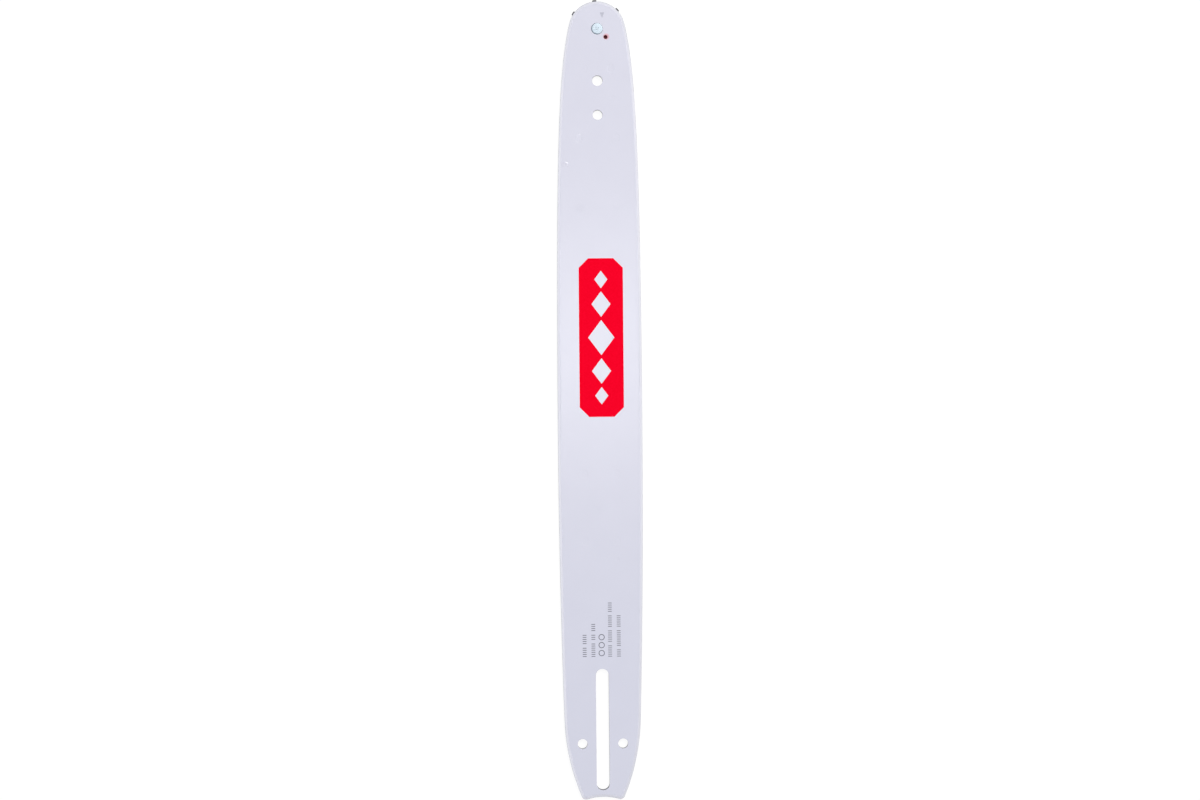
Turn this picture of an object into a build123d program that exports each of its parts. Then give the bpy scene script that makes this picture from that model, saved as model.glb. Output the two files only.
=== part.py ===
from build123d import *

import os
from math import asin, cos, floor, pi, radians, sin

# Chainsaw guide bar: two side plates spot-welded to a core plate, with a sprocket nose that
# turns on a ring of rollers round one rivet. The bar lies flat. The origin is the middle of the
# stud slot on the back face, +Y runs along the bar to the nose, and +Z leaves the front face.
# All sizes are in millimetres and all angles in degrees.

# Outline of the bar, seen from the front
bar_length = 501.8  # nose tip to the tail corners before they are rounded
bar_width = 53.0
widest_from_tip = 270.7
nose_radius = 17.7
nose_flank_angle = 13.6  # between the bar's axis and the edge where it leaves the nose arc
nose_flank_reach = 30.0  # how far the edge keeps that angle, as a curve handle
widest_reach = 176.5  # how far the edge keeps parallel to the axis, as a curve handle
tail_shoulder_width = 47.8
tail_shoulder_from_tail = 50.6
tail_end_width = 24.8
tail_corner_radius = 3.0
tail_notch_depth = 2.3

# Laminations
side_plate_thickness = 1.4
core_thickness = 1.3  # also the chain gauge, the width of the groove
groove_depth = 6.0
edge_bevel_width = 1.5  # across the face of a side plate
edge_bevel_depth = 0.5  # down its edge

# Tail: slot for the bar studs and holes for the chain adjuster pin and oil
slot_width = 8.2
slot_length = 76.1
slot_from_notch = 4.25  # wall left between the slot and the tail notch
adjuster_hole_diameter = 6.2
adjuster_hole_spacing = 25.5
adjuster_holes_behind_slot_centre = 8.9
oil_channel_width = 2.4

# Nose: holes for a clip-on nose guard, and the hole that takes a grease gun
front_guard_hole_diameter = 6.6
rear_guard_hole_diameter = 6.2
guard_hole_spacing = 21.5
guard_holes_from_sprocket = 32.6  # from its axis to the front one
grease_hole_diameter = 2.4
grease_hole_angle = -44.0  # from +X, on the ring of rollers

# Nose sprocket and its roller bearing
tooth_count = 7
sprocket_from_tip = 17.2  # its axis, and the rivet's
sprocket_tip_radius = 18.2
tooth_tip_width = 2.9
tooth_tip_rounding = 0.4  # of its two corners
tooth_turn = 4.6  # of one tooth from +Y
sprocket_web = 2.5  # from the roller track to the bottom of the gullets
sprocket_pocket_gap = 0.8  # tips to the core plate
side_play = 0.05  # sprocket and rollers to each side plate
roller_pitch_radius = 7.5
roller_diameter = 2.6
roller_clearance = 0.03  # to each track
roller_spacing_gap = 0.15  # least gap between neighbours

# Nose rivet
rivet_shank_diameter = 6.0
rivet_head_diameter = 7.3
rivet_head_proud = 0.4
rivet_head_bevel_width = 0.5  # across the head
rivet_head_bevel_depth = 0.25  # down its edge
rivet_fit = 0.02  # round the rivet, in the plates and the race

# Places worked out from the sizes
slot_centre_from_tail = tail_notch_depth + slot_from_notch + slot_length / 2
tail_y = -slot_centre_from_tail
tip_y = tail_y + bar_length
sprocket_y = tip_y - sprocket_from_tip
back_inner_z = side_plate_thickness
front_inner_z = back_inner_z + core_thickness
bar_thickness = front_inner_z + side_plate_thickness
sprocket_axis = Pos(0, sprocket_y, 0)

roller_radius = roller_diameter / 2
race_radius = roller_pitch_radius - roller_radius - roller_clearance
sprocket_bore_radius = roller_pitch_radius + roller_radius + roller_clearance
sprocket_root_radius = sprocket_bore_radius + sprocket_web
roller_count = floor(pi / asin((roller_radius + roller_spacing_gap / 2) / roller_pitch_radius))
running_thickness = core_thickness - 2 * side_play
running_z = back_inner_z + side_play

rivet_radius = rivet_shank_diameter / 2
rivet_head_radius = rivet_head_diameter / 2
countersink_depth = rivet_head_radius - rivet_radius  # a 90 degree countersink
past = 1.0  # cutters run this far past the faces that they cut


def right_edge():
    """The bar's right edge from the nose arc to the tail corner, as three tangent curves."""
    lean = radians(nose_flank_angle)
    leave = Vector(nose_radius * cos(lean), tip_y - nose_radius * (1 - sin(lean)))
    widest = Vector(bar_width / 2, tip_y - widest_from_tip)
    shoulder = Vector(tail_shoulder_width / 2, tail_y + tail_shoulder_from_tail)
    bow_control = Vector(widest.X, (widest.Y + shoulder.Y) / 2)
    flank = Bezier(
        leave,
        leave + Vector(sin(lean), -cos(lean)) * nose_flank_reach,
        widest + Vector(0, widest_reach),
        widest,
    )
    bow = Bezier(widest, bow_control, shoulder)
    tail = TangentArc(shoulder, (tail_end_width / 2, tail_y), tangent=shoulder - bow_control)
    return [flank, bow, tail]


def both_sides(edges):
    return [*edges, *(mirror(edge, Plane.YZ) for edge in edges)]


def nose_arc(flank, tip):
    leave = flank @ 0
    return ThreePointArc(leave, (0, tip), (-leave.X, leave.Y))


def bar_outline():
    """The whole outline, with its notched tail and rounded tail corners."""
    edges = right_edge()
    corner = edges[-1] @ 1
    notch = ThreePointArc(corner, (0, tail_y + tail_notch_depth), (-corner.X, corner.Y))
    outline = make_face([nose_arc(edges[0], tip_y), *both_sides(edges), notch])
    return fillet(outline.vertices().sort_by(Axis.Y)[:2], tail_corner_radius)


def inset(edge, depth):
    """A curve of the right edge moved into the bar, through five of its points."""
    places = []
    for share in (0, 0.25, 0.5, 0.75, 1):
        heading = edge % share
        places.append(edge @ share + Vector(heading.Y, -heading.X) * depth)
    return Spline(*places, tangents=[edge % 0, edge % 1])


def groove_floor_outline():
    """The outline less the groove, which runs out at the tail instead of turning the corner."""
    edges = [inset(edge, groove_depth) for edge in right_edge()]
    corner = edges[-1] @ 1
    run_out = corner + (edges[-1] % 1) * groove_depth
    close = Line(run_out, (-run_out.X, run_out.Y))
    edges.append(Line(corner, run_out))
    outline = make_face([nose_arc(edges[0], tip_y - groove_depth), *both_sides(edges), close])
    return outline & bar_outline()


def adjuster_places():
    half = adjuster_hole_spacing / 2
    return [Pos(side * half, -adjuster_holes_behind_slot_centre) for side in (-1, 1)]


def through_holes():
    """The slot and the round holes that pass through all three laminations."""
    slot = SlotOverall(slot_length, slot_width, rotation=90)
    adjusters = [place * Circle(adjuster_hole_diameter / 2) for place in adjuster_places()]
    front_guard_y = sprocket_y - guard_holes_from_sprocket
    guards = [
        Pos(0, front_guard_y) * Circle(front_guard_hole_diameter / 2),
        Pos(0, front_guard_y - guard_hole_spacing) * Circle(rear_guard_hole_diameter / 2),
    ]
    return Sketch() + [slot, *adjusters, *guards]


def rivet_seat(fit):
    """The rivet's shank and countersunk head in a side plate whose inner face is at z = 0."""
    profile = Polyline(
        (0, -past),
        (rivet_radius + fit, -past),
        (rivet_radius + fit, side_plate_thickness - countersink_depth),
        (rivet_head_radius + fit, side_plate_thickness),
        (rivet_head_radius + fit, side_plate_thickness + past),
        (0, side_plate_thickness + past),
        close=True,
    )
    return sprocket_axis * revolve(Plane.XZ * make_face(profile), Axis.Z)


def side_plate(grease_hole):
    """A side plate with its inner face at z = 0 and its bevelled face up."""
    plate = extrude(bar_outline(), amount=side_plate_thickness)
    face = plate.faces().sort_by(Axis.Z)[-1]
    plate = chamfer(face.edges(), edge_bevel_width, edge_bevel_depth, reference=face)
    plate -= extrude(through_holes(), amount=side_plate_thickness)
    plate -= rivet_seat(rivet_fit)
    if grease_hole:
        drill = Cylinder(grease_hole_diameter / 2, 2 * side_plate_thickness + past)
        plate -= sprocket_axis * Rot(0, 0, grease_hole_angle) * Pos(roller_pitch_radius, 0) * drill
    return plate


def core_plate():
    """The middle lamination: its edge is the floor of the groove, and its nose end is cut
    round the sprocket. Channels lead oil from the adjuster holes out to the groove."""
    outline = groove_floor_outline() - sprocket_axis * Circle(sprocket_tip_radius + sprocket_pocket_gap)
    outline -= through_holes()
    for place, side in zip(adjuster_places(), (-1, 1)):
        reach = bar_width / 2
        outline -= place * Pos(side * reach / 2, 0) * Rectangle(reach, oil_channel_width)
    return Pos(0, 0, back_inner_z) * extrude(outline, amount=core_thickness)


def polar(radius, angle):
    """A point at an angle from +Y, counter-clockwise."""
    return (-radius * sin(angle), radius * cos(angle))


def nose_sprocket():
    """A toothed ring: round tooth tips joined by round gullets that take the chain's drive links."""
    pitch = 2 * pi / tooth_count
    half_tip = asin(tooth_tip_width / 2 / sprocket_tip_radius)
    edges = []
    for tooth in range(tooth_count):
        middle = radians(tooth_turn) + tooth * pitch
        start, end = middle - half_tip, middle + half_tip
        tip = [polar(sprocket_tip_radius, angle) for angle in (start, middle, end)]
        gullet = polar(sprocket_root_radius, middle + pitch / 2)
        next_tip = polar(sprocket_tip_radius, start + pitch)
        edges += [ThreePointArc(*tip), ThreePointArc(tip[-1], gullet, next_tip)]
    outline = make_face(edges)
    ring = fillet(outline.vertices(), tooth_tip_rounding) - Circle(sprocket_bore_radius)
    return sprocket_axis * Pos(0, 0, running_z) * extrude(ring, amount=running_thickness)


def bearing_inner_race():
    """The ring that the rollers run on, clamped between the side plates by the rivet."""
    ring = Circle(race_radius) - Circle(rivet_radius + rivet_fit)
    return sprocket_axis * Pos(0, 0, back_inner_z) * extrude(ring, amount=core_thickness)


def bearing_rollers():
    roller = Cylinder(
        roller_radius, running_thickness, align=(Align.CENTER, Align.CENTER, Align.MIN)
    )
    ring = PolarLocations(roller_pitch_radius, roller_count)
    return [sprocket_axis * Pos(0, 0, running_z) * place * roller for place in ring]


def nose_rivet():
    """Countersunk and flush at the back, headed a little proud of the front plate."""
    top = bar_thickness + rivet_head_proud
    profile = Polyline(
        (0, 0),
        (rivet_head_radius, 0),
        (rivet_radius, countersink_depth),
        (rivet_radius, bar_thickness - countersink_depth),
        (rivet_head_radius, bar_thickness),
        (rivet_head_radius, top),
        (0, top),
        close=True,
    )
    rivet = revolve(Plane.XZ * make_face(profile), Axis.Z)
    head = rivet.faces().sort_by(Axis.Z)[-1]
    rivet = chamfer(head.edges(), rivet_head_bevel_width, rivet_head_bevel_depth, reference=head)
    return sprocket_axis * rivet


def build():
    front = Pos(0, 0, front_inner_z) * side_plate(grease_hole=True)
    back = Pos(0, 0, back_inner_z) * mirror(side_plate(grease_hole=False), Plane.XY)
    parts = {
        "front_side_plate": front,
        "back_side_plate": back,
        "core_plate": core_plate(),
        "nose_sprocket": nose_sprocket(),
        "bearing_inner_race": bearing_inner_race(),
        "nose_rivet": nose_rivet(),
    }
    for number, roller in enumerate(bearing_rollers(), start=1):
        parts[f"bearing_roller_{number:02d}"] = roller
    return parts


os.makedirs("parts", exist_ok=True)
for node, shape in build().items():
    export_step(shape, f"parts/{node}.step")
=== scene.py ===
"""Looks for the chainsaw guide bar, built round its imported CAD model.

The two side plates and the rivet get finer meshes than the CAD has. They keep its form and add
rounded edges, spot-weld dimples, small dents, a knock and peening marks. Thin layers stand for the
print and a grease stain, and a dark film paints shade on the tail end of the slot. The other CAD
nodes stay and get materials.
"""

from math import atan2, cos, hypot, pi, radians, sin

import bmesh
import bpy
from mathutils import Matrix, Vector
from mathutils.geometry import delaunay_2d_cdt

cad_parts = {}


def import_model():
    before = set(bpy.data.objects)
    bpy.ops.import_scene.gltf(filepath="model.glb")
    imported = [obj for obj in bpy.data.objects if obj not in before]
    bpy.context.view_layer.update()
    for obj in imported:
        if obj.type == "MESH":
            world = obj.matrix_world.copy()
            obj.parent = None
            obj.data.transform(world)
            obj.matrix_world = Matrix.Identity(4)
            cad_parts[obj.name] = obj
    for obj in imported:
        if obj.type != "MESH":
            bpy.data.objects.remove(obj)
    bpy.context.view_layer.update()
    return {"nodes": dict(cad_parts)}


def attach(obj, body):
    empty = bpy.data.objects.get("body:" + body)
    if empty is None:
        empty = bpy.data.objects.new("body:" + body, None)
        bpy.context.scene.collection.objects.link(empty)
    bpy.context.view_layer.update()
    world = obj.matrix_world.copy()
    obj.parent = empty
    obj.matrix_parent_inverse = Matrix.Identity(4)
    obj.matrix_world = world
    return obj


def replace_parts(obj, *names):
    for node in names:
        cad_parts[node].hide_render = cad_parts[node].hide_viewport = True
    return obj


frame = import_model()

MM = 0.001

# Sizes of the bar, in millimetres, as in the CAD source
TIP_Y = 457.2
TAIL_Y = -44.6
NOSE_RADIUS = 17.7
FLANK_ANGLE = radians(13.6)
FLANK_REACH = 30.0
WIDEST = Vector((26.5, 186.5))
WIDEST_REACH = 176.5
SHOULDER = Vector((23.9, 6.0))
TAIL_HALF_WIDTH = 12.4
TAIL_CORNER_RADIUS = 3.0
NOTCH_DEPTH = 2.3
PLATE = 1.4
CORE = 1.3
THICKNESS = 2 * PLATE + CORE
BEVEL_WIDTH = 1.5
BEVEL_DEPTH = 0.5
SLOT_HALF_LENGTH = 38.05
SLOT_RADIUS = 4.1
ADJUSTER_HOLES = ((-12.75, -8.9), (12.75, -8.9))
ADJUSTER_RADIUS = 3.1
SPROCKET_Y = 440.0
GUARD_HOLES = {(0.0, 407.4): 3.3, (0.0, 385.9): 3.1}  # radius at each place
ROLLER_PITCH_RADIUS = 7.5
GREASE_ANGLE = radians(-44.0)
GREASE_RADIUS = 1.2
RIVET_RADIUS = 3.0
RIVET_HEAD_RADIUS = 3.65
RIVET_FIT = 0.02
RIVET_PROUD = 0.4
GREASE_HOLE = (
    ROLLER_PITCH_RADIUS * cos(GREASE_ANGLE),
    SPROCKET_Y + ROLLER_PITCH_RADIUS * sin(GREASE_ANGLE),
)

# Fine edges that only this script has, in millimetres
EASING = 0.1  # reach of the rounding along each side of an edge
SEAT_EASING = 0.04  # the same in the rivet's seat
RIVET_EASING = 0.05  # and on the rivet
EASED_HEIGHT = 0.06  # from an edge to where the finish changes
PAINT_OVER_BEVEL = 0.12  # how far the paint comes down the bevel
FLAT_STRIP = 0.3  # beside the rim, on both faces of a plate
RIVET_BEVEL_WIDTH = 0.38
RIVET_BEVEL_DEPTH = 0.33
RIVET_FLAT_SHIFT = Vector((0.28, 0.19))  # the peened head's flat lies off its middle, which widens the bevel's painted shade on the lower left

# Marks in the plates, in millimetres: welds on both, dents, a stamped triangle and a stain on the front
WELD_RADIUS = 2.6
WELD_STRETCH = 1.2  # along the bar
WELD_ROWS = 7
WELD_ROW_PITCH = 42.1
FIRST_ROW_X = 11.6
FIRST_ROW_Y = 371.0
ROW_NARROWING = 0.27  # from one row to the next
LEAST_WELD_DEPTH = 0.02
EXTRA_WELD_DEPTH = 0.025  # in the first row, and less in each that follows
WELDS = {(-8.4, 414.9): 0.025, (8.4, 414.9): 0.05}  # depth at each place
for row in range(WELD_ROWS):
    depth = LEAST_WELD_DEPTH + EXTRA_WELD_DEPTH / (row + 1)
    for side in (-1, 1):
        WELDS[side * (FIRST_ROW_X - ROW_NARROWING * row), FIRST_ROW_Y - WELD_ROW_PITCH * row] = depth
DENTS = {  # radius and depth at each place
    (-20.7, 354.7): (2.0, -0.065),  # a knock, which stands up
    (9.4, 397.1): (1.5, 0.03),
    (-1.7, 138.6): (1.8, 0.03),
    (10.2, 106.6): (1.5, 0.03),
}
STAIN_CENTRE = Vector(GREASE_HOLE) + Vector((0.4, 0.3))
STAIN_RADIUS = 2.4
STAMP_CENTRE = Vector((3.25, 448.4))
STAMP_SIZE = Vector((2.7, 3.5))
STAMP_DEPTH = 0.1


# Plane curves, as lists of points in millimetres


def bezier(points, count):
    """Points along a Bezier curve, without the last one."""
    found = []
    for step in range(count):
        level = points
        while len(level) > 1:
            level = [a.lerp(b, step / count) for a, b in zip(level, level[1:])]
        found.append(level[0])
    return found


def arc(centre, radius, start, end, count):
    """Points along a circle from one angle to another, without the last one."""
    angles = [start + (end - start) * step / count for step in range(count)]
    return [Vector((centre[0] + radius * cos(a), centre[1] + radius * sin(a))) for a in angles]


def circle(centre, radius, count):
    return arc(centre, radius, 0, 2 * pi, count)


def box(x, y, width, height):
    """A rectangle round a middle point."""
    half_width, half_height = width / 2, height / 2
    turns = ((-1, -1), (1, -1), (1, 1), (-1, 1))
    return [Vector((x + a * half_width, y + b * half_height)) for a, b in turns]


def eased(corners, reach):
    """A line through corner points, with each inner corner rounded over a short reach."""
    corners = [Vector(corner) for corner in corners]
    line = corners[:1]
    for before, corner, after in zip(corners, corners[1:], corners[2:]):
        start = corner + (before - corner).normalized() * reach
        end = corner + (after - corner).normalized() * reach
        line += bezier([start, corner, end], count=4) + [end]
    return line + corners[-1:]


def angle_from(centre, point):
    return atan2(point[1] - centre[1], point[0] - centre[0])


def meet(a, radius_a, b, radius_b):
    """The upper of the two points where two circles cross."""
    line = b - a
    along = (radius_a**2 - radius_b**2 + line.length_squared) / (2 * line.length)
    across = Vector((-line.y, line.x)).normalized() * (radius_a**2 - along**2) ** 0.5
    base = a + line.normalized() * along
    return max(base + across, base - across, key=lambda point: point.y)


def right_side():
    """The bar's right edge from the tip of the nose to the middle of the tail notch."""
    nose_centre = Vector((0, TIP_Y - NOSE_RADIUS))
    leave = nose_centre + NOSE_RADIUS * Vector((cos(FLANK_ANGLE), sin(FLANK_ANGLE)))
    heading = Vector((sin(FLANK_ANGLE), -cos(FLANK_ANGLE)))
    bow_control = Vector((WIDEST.x, (WIDEST.y + SHOULDER.y) / 2))
    flank = [leave, leave + heading * FLANK_REACH, WIDEST + Vector((0, WIDEST_REACH)), WIDEST]

    chord = Vector((TAIL_HALF_WIDTH, TAIL_Y)) - SHOULDER
    bow_heading = (SHOULDER - bow_control).normalized()
    inward = Vector((bow_heading.y, -bow_heading.x))
    tail_radius = chord.length_squared / (2 * chord.dot(inward))
    tail_centre = SHOULDER + inward * tail_radius
    notch_radius = (TAIL_HALF_WIDTH**2 + NOTCH_DEPTH**2) / (2 * NOTCH_DEPTH)
    notch_centre = Vector((0, TAIL_Y + NOTCH_DEPTH - notch_radius))
    corner_centre = meet(
        tail_centre, tail_radius - TAIL_CORNER_RADIUS, notch_centre, notch_radius + TAIL_CORNER_RADIUS
    )
    leaves_tail = angle_from(tail_centre, corner_centre)
    meets_notch = angle_from(notch_centre, corner_centre)

    points = arc(nose_centre, NOSE_RADIUS, pi / 2, FLANK_ANGLE, count=60)
    points += bezier(flank, count=160)
    points += bezier([WIDEST, bow_control, SHOULDER], count=60)
    points += arc(tail_centre, tail_radius, angle_from(tail_centre, SHOULDER), leaves_tail, count=40)
    points += arc(corner_centre, TAIL_CORNER_RADIUS, leaves_tail, meets_notch - pi, count=16)
    points += arc(notch_centre, notch_radius, meets_notch, pi / 2, count=20)
    return points + [Vector((0, TAIL_Y + NOTCH_DEPTH))]


def bar_outline():
    """The whole outline, counter-clockwise."""
    right = right_side()
    left = [Vector((-p.x, p.y)) for p in right[1:-1]]
    return left + right[::-1]


def slot_outline():
    reach = SLOT_HALF_LENGTH - SLOT_RADIUS
    upper = arc((0, reach), SLOT_RADIUS, 0, pi, count=32) + [Vector((-SLOT_RADIUS, reach))]
    lower = arc((0, -reach), SLOT_RADIUS, pi, 2 * pi, count=32) + [Vector((SLOT_RADIUS, -reach))]
    return upper + lower


def outward(points):
    """Unit normals of a closed counter-clockwise outline."""
    normals = []
    for before, after in zip(points[-1:] + points[:-1], points[1:] + points[:1]):
        along = (after - before).normalized()
        normals.append(Vector((along.y, -along.x)))
    return normals


class Solid:
    """Collects rings of points and the faces between them, then makes a mesh object."""

    def __init__(self, name, *materials):
        self.name = name
        self.materials = materials
        self.points = []
        self.faces = []
        self.looks = []

    def ring(self, outline, z):
        first = len(self.points)
        self.points += [Vector((p.x, p.y, z)) for p in outline]
        return list(range(first, len(self.points)))

    def add(self, face, material, smooth):
        self.faces.append(face)
        self.looks.append((self.materials.index(material), smooth))

    def band(self, low, high, material, smooth=True):
        """Quads between two rings of as many points."""
        count = len(low)
        for i in range(count):
            j = (i + 1) % count
            self.add((low[i], low[j], high[j], high[i]), material, smooth)

    def wall(self, outline, profile, material_at):
        """Sweeps a profile of outward offsets and heights round an outline. Returns its end rings."""
        normals = outward(outline)
        rings = []
        for offset, z in profile:
            rings.append(self.ring([p + n * offset for p, n in zip(outline, normals)], z))
        for step in range(len(rings) - 1):
            middle = (profile[step] + profile[step + 1]) / 2
            self.band(rings[step], rings[step + 1], material_at(*middle))
        return rings[0], rings[-1]

    def fill(self, rings, material):
        """A flat face between an outer ring and the convex rings of the gaps inside it."""
        ids = [i for ring in rings for i in ring]
        ring_of = [number for number, ring in enumerate(rings) for _ in ring]
        edges, first = [], 0
        for ring in rings:
            count = len(ring)
            edges += [(first + i, first + (i + 1) % count) for i in range(count)]
            first += count
        triangles_inside, same_point = 1, 1e-7
        flat = [self.points[i].xy for i in ids]
        _, _, faces, sources, _, _ = delaunay_2d_cdt(flat, edges, [], triangles_inside, same_point)
        for face in faces:
            corners = [sources[i][0] for i in face]
            on_rings = {ring_of[corner] for corner in corners}
            in_hole = len(on_rings) == 1 and on_rings != {0}
            if not in_hole:
                self.add(tuple(ids[corner] for corner in corners), material, False)

    def dish(self, centre, profile, material, count):
        """Rings of (radius, height) round a middle, closed by the last one. Returns the first."""
        rings = [self.ring(circle(centre, radius, count), z) for radius, z in profile[:-1]]
        for low, high in zip(rings, rings[1:]):
            self.band(low, high, material)
        self.points.append(Vector((*centre, profile[-1][1])))
        middle = len(self.points) - 1
        last = rings[-1]
        for i in range(count):
            self.add((last[i], last[(i + 1) % count], middle), material, True)
        return rings[0]

    def build(self, turned_over=False):
        """The mesh object, in metres, riding on the bar."""
        if turned_over:
            self.points = [Vector((p.x, p.y, THICKNESS - p.z)) for p in self.points]
        mesh = bpy.data.meshes.new(self.name)
        mesh.from_pydata([p * MM for p in self.points], [], self.faces)
        for material in self.materials:
            mesh.materials.append(material)
        mesh.polygons.foreach_set("material_index", [look[0] for look in self.looks])
        mesh.polygons.foreach_set("use_smooth", [look[1] for look in self.looks])
        work = bmesh.new()
        work.from_mesh(mesh)
        bmesh.ops.recalc_face_normals(work, faces=work.faces)
        work.to_mesh(mesh)
        work.free()
        piece = bpy.data.objects.new(self.name, mesh)
        bpy.context.scene.collection.objects.link(piece)
        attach(piece, "bar")
        return piece


# Materials

NOISE_LOW, NOISE_HIGH = 0.3, 0.7  # most of a noise lies between these

# Scales of the noises in the finishes, in features to a metre
CLOUDS = 60.0
PAINT_GLOSS = 350.0
ORANGE_PEEL = 1400.0
INK_GLOSS = 500.0
INK_MOTTLE = 900.0
INK_TOOTH = 2200.0
GREASE_GLOSS = 900.0
GREASE_MOTTLE = 1500.0
GREASE_LUMPS = 1800.0

# Grains of steel, as a noise scale along each axis
ALONG_BAR = (2500.0, 160.0, 2500.0)
ROUND_THE_EDGE = (150.0, 150.0, 7000.0)
THROUGH_BAR = (900.0, 900.0, 120.0)
ALL_WAYS = (800.0, 800.0, 800.0)


class Nodes:
    """A new material and short ways to add and join its nodes."""

    def __init__(self, name):
        self.material = bpy.data.materials.new(name)
        self.material.use_nodes = True
        self.tree = self.material.node_tree
        self.shader = self.tree.nodes["Principled BSDF"]
        self.place = self.tree.nodes.new("ShaderNodeTexCoord").outputs["Object"]

    def stretched(self, scale):
        """Coordinates scaled by its own amount along each axis."""
        node = self.tree.nodes.new("ShaderNodeMapping")
        node.inputs["Scale"].default_value = scale
        self.tree.links.new(self.place, node.inputs["Vector"])
        return node.outputs["Vector"]

    def noise(self, scale, detail=3.0, place=None):
        node = self.tree.nodes.new("ShaderNodeTexNoise")
        node.inputs["Scale"].default_value = scale
        node.inputs["Detail"].default_value = detail
        self.tree.links.new(place or self.place, node.inputs["Vector"])
        return node.outputs["Fac"]

    def away(self, centre, near, far):
        """A factor that grows over the range of a noise with the distance from a point."""
        distance = self.tree.nodes.new("ShaderNodeVectorMath")
        distance.operation = "DISTANCE"
        distance.inputs[1].default_value = centre
        self.tree.links.new(self.place, distance.inputs[0])
        node = self.tree.nodes.new("ShaderNodeMapRange")
        node.inputs["From Min"].default_value = near
        node.inputs["From Max"].default_value = far
        node.inputs["To Min"].default_value = NOISE_LOW
        node.inputs["To Max"].default_value = NOISE_HIGH
        self.tree.links.new(distance.outputs["Value"], node.inputs["Value"])
        return node.outputs["Result"]

    def colour(self, factor, dark, light):
        """Base colour that runs from dark to light with a noise."""
        node = self.tree.nodes.new("ShaderNodeValToRGB")
        stops = zip(node.color_ramp.elements, (NOISE_LOW, NOISE_HIGH), (dark, light))
        for element, position, shade in stops:
            element.position = position
            element.color = (*shade, 1.0)
        self.tree.links.new(factor, node.inputs["Fac"])
        self.tree.links.new(node.outputs["Color"], self.shader.inputs["Base Color"])

    def roughness(self, factor, low, high):
        node = self.tree.nodes.new("ShaderNodeMapRange")
        node.inputs["From Min"].default_value = NOISE_LOW
        node.inputs["From Max"].default_value = NOISE_HIGH
        node.inputs["To Min"].default_value = low
        node.inputs["To Max"].default_value = high
        self.tree.links.new(factor, node.inputs["Value"])
        self.tree.links.new(node.outputs["Result"], self.shader.inputs["Roughness"])

    def bump(self, height, depth):
        """Relief from a noise, with its depth in millimetres."""
        node = self.tree.nodes.new("ShaderNodeBump")
        node.inputs["Distance"].default_value = depth * MM
        self.tree.links.new(height, node.inputs["Height"])
        self.tree.links.new(node.outputs["Normal"], self.shader.inputs["Normal"])


def paint(name, dark, light, rough):
    """Semi-gloss paint with a faint cloud of tone and fine orange peel."""
    nodes = Nodes(name)
    nodes.colour(nodes.noise(CLOUDS), dark, light)
    nodes.roughness(nodes.noise(PAINT_GLOSS), rough - 0.01, rough + 0.01)
    nodes.bump(nodes.noise(ORANGE_PEEL, detail=2.0), depth=0.005)
    return nodes.material


def steel(name, dark, light, rough, grain, metallic=1.0, unevenness=1.0):
    """Steel with a grain. Unevenness scales how much its gloss and relief vary with the grain."""
    nodes = Nodes(name)
    streaks = nodes.noise(1.0, detail=4.0, place=nodes.stretched(grain))
    nodes.colour(streaks, dark, light)
    nodes.roughness(streaks, rough - 0.06 * unevenness, rough + 0.08 * unevenness)
    nodes.bump(streaks, depth=0.008 * unevenness)
    nodes.shader.inputs["Metallic"].default_value = metallic
    return nodes.material


def ink(name, dark, light, rough=0.45):
    """Matt screen-printed ink with a faint mottle."""
    nodes = Nodes(name)
    nodes.colour(nodes.noise(INK_MOTTLE), dark, light)
    nodes.roughness(nodes.noise(INK_GLOSS), rough - 0.04, rough + 0.06)
    nodes.bump(nodes.noise(INK_TOOTH, detail=2.0), depth=0.006)
    nodes.shader.inputs["Specular IOR Level"].default_value = 0.0
    return nodes.material


def grease(name, dark, light):
    """Grease, or a dark film that paints shade; lumpy and a little glossy."""
    nodes = Nodes(name)
    nodes.colour(nodes.noise(GREASE_MOTTLE), dark, light)
    nodes.roughness(nodes.noise(GREASE_GLOSS), 0.25, 0.4)
    nodes.bump(nodes.noise(GREASE_LUMPS), depth=0.04)
    nodes.shader.inputs["Specular IOR Level"].default_value = 0.1
    return nodes.material


def stain(name, near, far):
    """Thin grease on the paint, which fades to the colour of the paint round it."""
    nodes = Nodes(name)
    middle = Vector((*STAIN_CENTRE, THICKNESS)) * MM
    starts_to_fade, gone = 0.55 * STAIN_RADIUS * MM, 0.98 * STAIN_RADIUS * MM
    nodes.colour(nodes.away(middle, starts_to_fade, gone), near, far)
    nodes.roughness(nodes.noise(GREASE_GLOSS), 0.26, 0.3)
    nodes.bump(nodes.noise(ORANGE_PEEL, detail=2.0), depth=0.005)
    return nodes.material


PAINT_DARK = (0.672, 0.664, 0.752)
PAINT_LIGHT = (0.683, 0.675, 0.763)
PAINT_MIDDLE = tuple((dark + light) / 2 for dark, light in zip(PAINT_DARK, PAINT_LIGHT))

face_paint = paint("pale_grey_paint", PAINT_DARK, PAINT_LIGHT, 0.21)
edge_paint = paint("thin_edge_paint", PAINT_DARK, PAINT_LIGHT, 0.5)
# ground steel of the bevel, its colour lighter than the face paint: partly a painted sheen
bevel_steel_and_sheen = steel(
    "bevel_steel_painted_sheen",
    (0.71, 0.705, 0.765),
    (0.76, 0.755, 0.815),
    0.22,
    ROUND_THE_EDGE,
    metallic=0.15,
    unevenness=0.2,
)
stamped_paint = paint("stamped_paint", (0.45, 0.45, 0.52), (0.50, 0.50, 0.57), 0.45)
rail_steel = steel("ground_rail_steel", (0.36, 0.36, 0.38), (0.56, 0.56, 0.58), 0.34, ROUND_THE_EDGE)
cut_steel = steel("punched_edge_steel", (0.26, 0.26, 0.27), (0.46, 0.46, 0.47), 0.42, THROUGH_BAR)
core_steel = steel("rolled_core_steel", (0.22, 0.22, 0.23), (0.40, 0.40, 0.41), 0.45, ALONG_BAR)
tooth_steel = steel("dark_hardened_steel", (0.02, 0.02, 0.023), (0.06, 0.058, 0.062), 0.38, ALL_WAYS)
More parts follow.
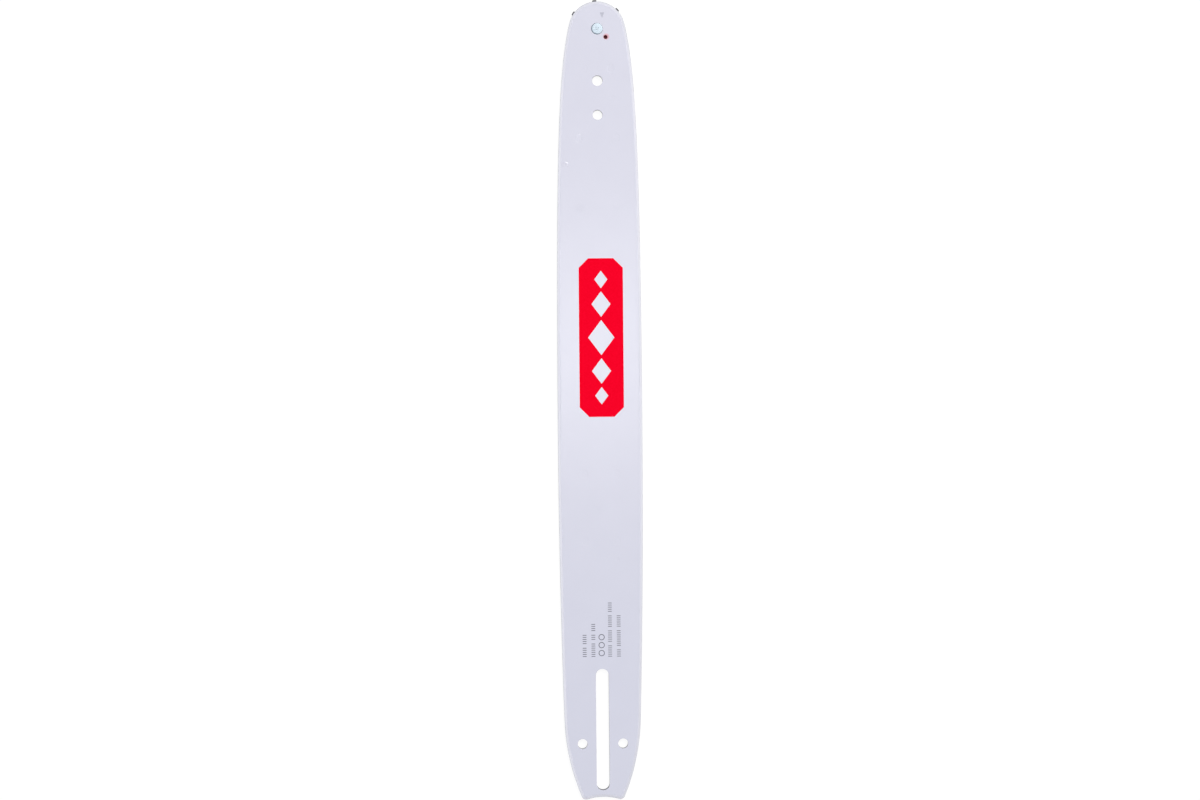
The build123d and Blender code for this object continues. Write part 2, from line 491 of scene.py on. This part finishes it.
bearing_steel = steel("ground_bearing_steel", (0.45, 0.45, 0.46), (0.66, 0.66, 0.67), 0.25, THROUGH_BAR)
zinc = steel("bright_zinc_plate", (0.33, 0.39, 0.435), (0.405, 0.46, 0.505), 0.42, ALL_WAYS, metallic=0.6)
# darker zinc for the rivet's bevel: painted shade, widest on the lower left
rivet_bevel_shade = steel("zinc_edge_painted_shade", (0.17, 0.21, 0.26), (0.25, 0.29, 0.35), 0.5, ALL_WAYS, metallic=0.3)
red_ink = ink("red_ink", (0.93, 0.001, 0.018), (0.98, 0.002, 0.024))
grey_ink = ink("grey_ink", (0.09, 0.09, 0.11), (0.13, 0.13, 0.15))
dark_grease = grease("dark_red_grease", (0.025, 0.0005, 0.001), (0.09, 0.002, 0.003))
grease_film = grease("red_grease_film", (0.50, 0.20, 0.22), (0.62, 0.30, 0.33))
grease_stain = stain("pale_grease_stain", (0.68, 0.37, 0.42), PAINT_MIDDLE)
# painted shade: a dark film on the tail end of the slot's wall
slot_shade_material = grease("painted_shade_film", (0.02, 0.022, 0.035), (0.05, 0.052, 0.075))


# Side plates and rivet


def side_plate(name, node, front):
    """A side plate, built as the front one lies. The back one is turned over."""
    solid = Solid(
        name, face_paint, edge_paint, bevel_steel_and_sheen, rail_steel, cut_steel, stamped_paint, grease_film
    )
    low, high = PLATE + CORE, THICKNESS
    bevel_low = high - BEVEL_DEPTH

    def rim_material(offset, z):
        if z < bevel_low + EASED_HEIGHT:
            return rail_steel
        # the bevel's lighter colour is partly a painted sheen
        return bevel_steel_and_sheen if offset > PAINT_OVER_BEVEL - BEVEL_WIDTH else edge_paint

    rim = [(-FLAT_STRIP, low), (0, low), (0, bevel_low), (-BEVEL_WIDTH, high)]
    rim.append((-BEVEL_WIDTH - FLAT_STRIP, high))
    bottom, top = solid.wall(bar_outline(), eased(rim, EASING), rim_material)
    inner_rings, outer_rings = [bottom], [top]

    holes = [(slot_outline(), cut_steel, face_paint)]
    round_holes = {place: ADJUSTER_RADIUS for place in ADJUSTER_HOLES} | GUARD_HOLES
    for place, radius in round_holes.items():
        holes.append((circle(place, radius, count=64), cut_steel, face_paint))
    if front:
        holes.append((circle(GREASE_HOLE, GREASE_RADIUS, count=48), grease_film, grease_film))
    inner_strip, outer_strip = 0.15, 0.2
    edge = eased([(inner_strip, low), (0, low), (0, high), (outer_strip, high)], EASING)
    for outline, wall_finish, lip_finish in holes:
        bottom, top = solid.wall(
            outline, edge, lambda offset, z: wall_finish if z < high - EASED_HEIGHT else lip_finish
        )
        inner_rings.append(bottom)
        outer_rings.append(top)

    sink = RIVET_HEAD_RADIUS - RIVET_RADIUS
    seat_strip = 0.1
    seat = eased([(0, low), (0, high - sink), (sink, high), (sink + seat_strip, high)], SEAT_EASING)
    seat_outline = circle((0, SPROCKET_Y), RIVET_RADIUS + RIVET_FIT, count=96)
    bottom, top = solid.wall(seat_outline, seat, lambda offset, z: cut_steel)
    inner_rings.append(bottom)
    outer_rings.append(top)

    for number, (place, depth) in enumerate(WELDS.items()):
        outer_rings.append(hollow(solid, place, WELD_RADIUS, depth, high, number, WELD_STRETCH))
    if front:
        for number, (place, (radius, depth)) in enumerate(DENTS.items()):
            outer_rings.append(hollow(solid, place, radius, depth, high, number))
        outer_rings.append(stamp(solid, high))

    solid.fill(outer_rings, face_paint)
    solid.fill(inner_rings, cut_steel)
    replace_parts(solid.build(turned_over=not front), node)


def hollow(solid, centre, radius, depth, top, number, stretch=1.0):
    """A shallow hollow with a soft edge, or a bump if its depth is negative. Returns its rim.

    Each number turns the deeper side another way, and stretch makes it longer along the bar.
    """
    edge_share, steps, lopsided = 0.35, 8, 0.4
    profile = []
    for step in range(steps + 1):
        share = step / steps
        smooth_share = share * share * (3 - 2 * share)
        profile.append((radius * (1 - edge_share * share), top - depth * smooth_share))
    profile.append((0.0, top - depth))
    first = len(solid.points)
    rim = solid.dish(centre, profile, face_paint, count=40)
    turn_each = 2.1
    turn = turn_each * number
    for point in solid.points[first:]:
        along = (point.x - centre[0]) * cos(turn) + (point.y - centre[1]) * sin(turn)
        point.z = top - (top - point.z) * (1 + lopsided * along / radius)
        point.y = centre[1] + (point.y - centre[1]) * stretch
    return rim


def stamp(solid, top):
    """A small triangle stamped into the face, pointing to the tail. Returns its rim."""
    half = STAMP_SIZE / 2
    wall_share = 0.15
    corners = [STAMP_CENTRE + Vector(p) for p in ((0, -half.y), (half.x, half.y), (-half.x, half.y))]
    middle = sum(corners, Vector((0, 0))) / 3
    rim = solid.ring(corners, top)
    floor = solid.ring([corner.lerp(middle, wall_share) for corner in corners], top - STAMP_DEPTH)
    solid.band(rim, floor, stamped_paint, smooth=False)
    solid.add(tuple(floor), stamped_paint, False)
    return rim


def rivet():
    """The nose rivet: flush countersunk back, unevenly peened front head with three marks in it.

    Its bevel is darker zinc, a painted shade that is widest on the lower left.
    """
    solid = Solid("nose_rivet_skin", zinc, rivet_bevel_shade)
    centre = Vector((0, SPROCKET_Y))
    flat_centre = centre + RIVET_FLAT_SHIFT
    count, rings = 96, 26
    top = THICKNESS + RIVET_PROUD
    sink = RIVET_HEAD_RADIUS - RIVET_RADIUS
    flat_radius = RIVET_HEAD_RADIUS - RIVET_BEVEL_WIDTH
    dome, back_strip = 0.03, 0.2
    mark_angles, mark_place, mark_radius, mark_depth = (35, 145, 270), 0.85, 0.42, 0.2
    side = [(sink - back_strip, 0), (sink, 0), (0, sink), (0, THICKNESS - sink), (sink, THICKNESS)]
    side = eased(side, RIVET_EASING)
    bottom, last = solid.wall(circle(centre, RIVET_RADIUS, count), side, lambda offset, z: zinc)
    solid.fill([bottom], zinc)

    outer = circle(centre, RIVET_HEAD_RADIUS, count)
    flat = circle(flat_centre, flat_radius, count)
    past_bevel = 1.2  # the edge runs on over the flat, in widths of the bevel
    edge = [(0, THICKNESS), (0, top - RIVET_BEVEL_DEPTH), (1, top - dome), (past_bevel, top - dome)]
    for share, z in eased(edge, RIVET_EASING)[1:]:
        ring = solid.ring([a.lerp(b, share) for a, b in zip(outer, flat)], z)
        solid.band(last, ring, rivet_bevel_shade if share < 1 else zinc)
        last = ring

    turns = [radians(angle) for angle in mark_angles]
    marks = [(mark_place * cos(turn), SPROCKET_Y + mark_place * sin(turn)) for turn in turns]
    domed_share = 0.96  # of the flat's radius
    for step in range(1, rings):
        share = domed_share * (1 - step / rings)
        ring = solid.ring(circle(flat_centre, flat_radius * share, count), top - dome * share**2)
        for index in ring:
            point = solid.points[index]
            for x, y in marks:
                away = hypot(point.x - x, point.y - y) / mark_radius
                point.z -= mark_depth * max(0.0, 1 - away**2) ** 2
        solid.band(last, ring, zinc)
        last = ring
    solid.fill([last], zinc)
    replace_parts(solid.build(), "nose_rivet")


def grease_dab():
    """Grease left in the grease hole, hollow in the middle, and a stain round the hole."""
    solid = Solid("grease_dab", dark_grease)
    above_plate, fill_height, fit, lip = 0.05, 0.6, 0.02, 0.22
    low, high = PLATE + CORE + above_plate, PLATE + CORE + fill_height
    radius = GREASE_RADIUS - fit
    sag = {1.0: 0.0, 0.85: 0.12, 0.5: 0.3, 0.0: 0.36}  # depth at each share of the radius
    profile = [(radius, low)] + [(radius * share, high - depth) for share, depth in sag.items()]
    rim = solid.dish(GREASE_HOLE, profile, dark_grease, count=48)
    solid.fill([rim], dark_grease)
    solid.build()
    patch = circle(STAIN_CENTRE, STAIN_RADIUS, count=64)
    gap = circle(GREASE_HOLE, GREASE_RADIUS + lip, count=48)
    thin_layer("grease_stain", grease_stain, [[patch, gap]])


def slot_end_shade():
    """A dark film on the tail end of the slot's wall, thickest in its middle: painted shade."""
    end = (0, SLOT_RADIUS - SLOT_HALF_LENGTH)
    count, start, turn = 40, radians(195), radians(150)
    thinnest, extra, inset = 0.005, 0.05, 0.1
    outer = arc(end, SLOT_RADIUS - thinnest, start, start + turn, count)
    inner = []
    for step, point in enumerate(outer):
        film = extra * sin(pi * (step + 0.5) / count) + thinnest
        inner.append(point + (Vector(end) - point).normalized() * film)
    # the film paints shade on the wall
    thin_layer("slot_end_painted_shade", slot_shade_material, [[outer + inner[::-1]]], inset, THICKNESS - inset)


# Print on the front: plain shapes in the colours and at the scale of the real one

INK_BOTTOM = THICKNESS + 0.004
INK_TOP = THICKNESS + 0.03


def thin_layer(name, material, shapes, low=INK_BOTTOM, high=INK_TOP):
    """A layer of ink, grease or a dark film of painted shade.

    Each shape is an outline with the outlines of the gaps in it.
    """
    solid = Solid(name, material)
    for outlines in shapes:
        bottoms = [solid.ring(outline, low) for outline in outlines]
        tops = [solid.ring(outline, high) for outline in outlines]
        for bottom, top in zip(bottoms, tops):
            solid.band(bottom, top, material, smooth=False)
        solid.fill(tops, material)
        solid.fill(bottoms, material)
    solid.build()


def red_panel():
    """A red panel with cut corners. Five lozenges left open in it show the paint."""
    x, y, half_width, half_length, cut = 1.1, 246.1, 13.9, 49.8, 6.0
    quarter = [(half_width, half_length - cut), (half_width - cut, half_length)]
    turned = quarter + [(-a, b) for a, b in reversed(quarter)]
    panel = turned + [(-a, -b) for a, b in turned]
    shape = [[Vector((x + a, y + b)) for a, b in panel]]
    reaches = (5.5, 8.0, 11.0, 8.0, 5.5)
    gap, slenderness = 2.0, 0.75
    at = y - sum(reaches) - gap * (len(reaches) - 1) / 2
    for reach in reaches:
        at += reach
        across = slenderness * reach
        corners = ((x + across, at), (x, at + reach), (x - across, at), (x, at - reach))
        shape.append([Vector(corner) for corner in corners])
        at += reach + gap
    thin_layer("print_red_panel", red_ink, [shape])


def grey_marks():
    """Rows of small grey strokes and rings in groups, with no letters or figures."""
    first_y, pitch, group_gap = 46.0, 1.3, 1.6
    stroke_length, stroke_width = 2.4, 0.38
    ring_x, ring_places, ring_radius, ring_width = -0.3, (48.0, 53.0, 58.0), 1.9, 0.4
    columns = {-11.0: (5, 5), -5.5: (7, 3, 4), 5.0: (6, 6, 6, 5), 10.5: (4, 8, 6)}
    shapes = []
    for x, groups in columns.items():
        y = first_y
        for strokes in groups:
            for _ in range(strokes):
                shapes.append([box(x, y, stroke_length, stroke_width)])
                y += pitch
            y += group_gap
    for y in ring_places:
        outlines = [circle((ring_x, y), r, count=40) for r in (ring_radius, ring_radius - ring_width)]
        shapes.append(outlines)
    thin_layer("print_grey_marks", grey_ink, shapes)


side_plate("front_plate_skin", "front_side_plate", front=True)
side_plate("back_plate_skin", "back_side_plate", front=False)
rivet()
grease_dab()
slot_end_shade()
red_panel()
grey_marks()

finishes = {"core_plate": core_steel, "nose_sprocket": tooth_steel}
for name, node in frame["nodes"].items():
    node.data.materials.clear()
    node.data.materials.append(finishes.get(name, bearing_steel))


# Floor, light and camera

PHOTO_WIDTH = 1200
PIXEL = 0.627 * MM  # a pixel of the photograph, on the front face
CAMERA_HEIGHT = 1.7
CAMERA_SIDEWAYS = -85.0 * MM
CAMERA_ROLL = radians(0.49)
LOOKED_AT = Vector((-0.03, 206.9, THICKNESS)) * MM

# Light levels, chosen so that the paint and the ground show the photograph's tones
WORLD_LIGHTING = 0.465
WORLD_SEEN = 1.0
FLOOR_GREY = 0.12  # the light it throws back, enough for a faint shadow under the bar
FLOOR_SEEN = 0.92


def brighter_when_seen(tree, lighting, seen):
    """A strength that is higher for camera, glossy and transmission rays than for lighting."""
    path = tree.nodes.new("ShaderNodeLightPath")
    rays = path.outputs["Is Camera Ray"]
    for name in ("Is Glossy Ray", "Is Transmission Ray"):
        node = tree.nodes.new("ShaderNodeMath")
        node.operation = "MAXIMUM"
        tree.links.new(rays, node.inputs[0])
        tree.links.new(path.outputs[name], node.inputs[1])
        rays = node.outputs[0]
    span = tree.nodes.new("ShaderNodeMapRange")
    span.inputs["To Min"].default_value = lighting
    span.inputs["To Max"].default_value = seen
    tree.links.new(rays, span.inputs["Value"])
    return span.outputs["Result"]


def floor():
    """A white ground a little below the bar."""
    width, below = 12.0, 0.3 * MM
    corners = [(corner.x, corner.y, -below) for corner in box(0, 0, width, width)]
    mesh = bpy.data.meshes.new("floor")
    mesh.from_pydata(corners, [], [(0, 1, 2, 3)])
    piece = bpy.data.objects.new("floor", mesh)
    bpy.context.scene.collection.objects.link(piece)
    material = bpy.data.materials.new("white_floor")
    material.use_nodes = True
    shader = material.node_tree.nodes["Principled BSDF"]
    shader.inputs["Base Color"].default_value = (FLOOR_GREY, FLOOR_GREY, FLOOR_GREY, 1)
    shader.inputs["Roughness"].default_value = 0.9
    shader.inputs["Specular IOR Level"].default_value = 0.0
    shader.inputs["Emission Color"].default_value = (1, 1, 1, 1)
    strength = brighter_when_seen(material.node_tree, 0.0, FLOOR_SEEN)
    material.node_tree.links.new(strength, shader.inputs["Emission Strength"])
    mesh.materials.append(material)


def world():
    made = bpy.data.worlds.new("studio")
    made.use_nodes = True
    background = made.node_tree.nodes["Background"]
    background.inputs["Color"].default_value = (0.97, 0.98, 1.0, 1)
    strength = brighter_when_seen(made.node_tree, WORLD_LIGHTING, WORLD_SEEN)
    made.node_tree.links.new(strength, background.inputs["Strength"])
    bpy.context.scene.world = made


def lamp(name, place, target, size, power, colour=(1.0, 1.0, 1.0)):
    """A round lamp that faces a point, with lengths in metres and its power in watts."""
    data = bpy.data.lights.new(name, "AREA")
    data.shape = "DISK"
    data.color = colour
    data.size = size
    data.energy = power
    piece = bpy.data.objects.new(name, data)
    bpy.context.scene.collection.objects.link(piece)
    piece.location = place
    piece.rotation_euler = (Vector(target) - Vector(place)).to_track_quat("-Z", "Y").to_euler()


def camera():
    """A camera above the bar, left of its middle and a little rolled, as in the photograph."""
    data = bpy.data.cameras.new("camera")
    data.sensor_width = 36.0
    data.lens = data.sensor_width * CAMERA_HEIGHT / (PHOTO_WIDTH * PIXEL)
    piece = bpy.data.objects.new("camera", data)
    bpy.context.scene.collection.objects.link(piece)
    place = LOOKED_AT + Vector((CAMERA_SIDEWAYS, 0, CAMERA_HEIGHT))
    ahead = (LOOKED_AT - place).normalized()
    right = ahead.cross(Vector((sin(CAMERA_ROLL), cos(CAMERA_ROLL), 0))).normalized()
    up = right.cross(ahead)
    piece.matrix_world = Matrix.Translation(place) @ Matrix((right, up, -ahead)).transposed().to_4x4()
    bpy.context.scene.camera = piece


floor()
world()
lamp("key", (0.6, 1.3, 2.2), (0, 0.2, 0), size=0.7, power=28.5)
lamp("overhead", (0.09, 0.285, 2.0), (0, 0.25, 0), size=0.25, power=1.6)
lamp("fill", (-1.2, 0.0, 1.7), (0, 0.15, 0), size=2.0, power=5.9, colour=(0.93, 0.95, 1.0))
lamp("tail", (0.085, -0.25, 1.7), (0, -0.05, 0), size=0.6, power=0.5, colour=(0.2, 0.55, 1.0))
lamp("side", (1.48, 0.4, 1.7), (0, 0.3, 0), size=1.0, power=1.5)
camera()
bpy.context.scene.view_settings.view_transform = "Standard"
